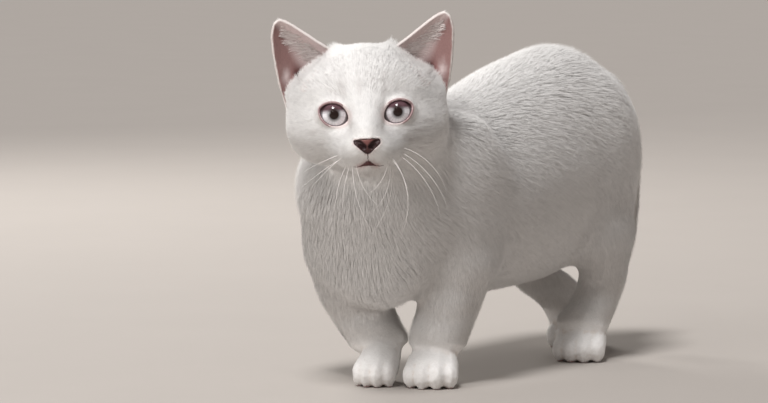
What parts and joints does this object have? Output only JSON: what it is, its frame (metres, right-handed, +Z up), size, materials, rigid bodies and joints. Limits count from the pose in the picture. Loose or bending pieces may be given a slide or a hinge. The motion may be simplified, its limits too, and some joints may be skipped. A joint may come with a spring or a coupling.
{
  "type": "still model of a munchkin cat",
  "caption": "Standing short-legged young cat with a white plush coat, head turned to its left, life size and still.",
  "frame": {"origin": "on the floor under the middle of the cat's bounding box", "axes": "+Z up, -Y the way the cat's body faces, +X its left side"},
  "size_m": [0.1156, 0.3244, 0.2111],
  "materials": {
    "torso": "short dense plush coat, white",
    "neck": "short dense plush coat, white",
    "head": "short dense plush coat, white",
    "nose": "moist maroon-brown nose leather",
    "ear_left": "short white coat outside, thin pink skin inside",
    "ear_right": "short white coat outside, thin pink skin inside",
    "eye_left": "wet and glossy, pale blue-grey iris round a dark pupil",
    "eye_right": "wet and glossy, pale blue-grey iris round a dark pupil",
    "foreleg_left": "short dense plush coat, white",
    "foreleg_right": "short dense plush coat, white",
    "forepaw_left": "short dense plush coat, white",
    "forepaw_right": "short dense plush coat, white",
    "hindleg_left": "short dense plush coat, white",
    "hindleg_right": "short dense plush coat, white",
    "hindpaw_left": "short dense plush coat, white",
    "hindpaw_right": "short dense plush coat, white",
    "tail_upper": "short plush coat, a little greyer than the body",
    "tail_lower": "short plush coat, a little greyer than the body"
  },
  "bodies": {
    "root": {"torso": "torso", "neck": "neck", "head": "head", "nose": "nose", "ear_left": "ear_left", "ear_right": "ear_right", "eye_left": "eye_left", "eye_right": "eye_right", "foreleg_left": "foreleg_left", "foreleg_right": "foreleg_right", "forepaw_left": "forepaw_left", "forepaw_right": "forepaw_right", "hindleg_left": "hindleg_left", "hindleg_right": "hindleg_right", "hindpaw_left": "hindpaw_left", "hindpaw_right": "hindpaw_right", "tail_upper": "tail_upper", "tail_lower": "tail_lower"}
  },
  "joints": []
}
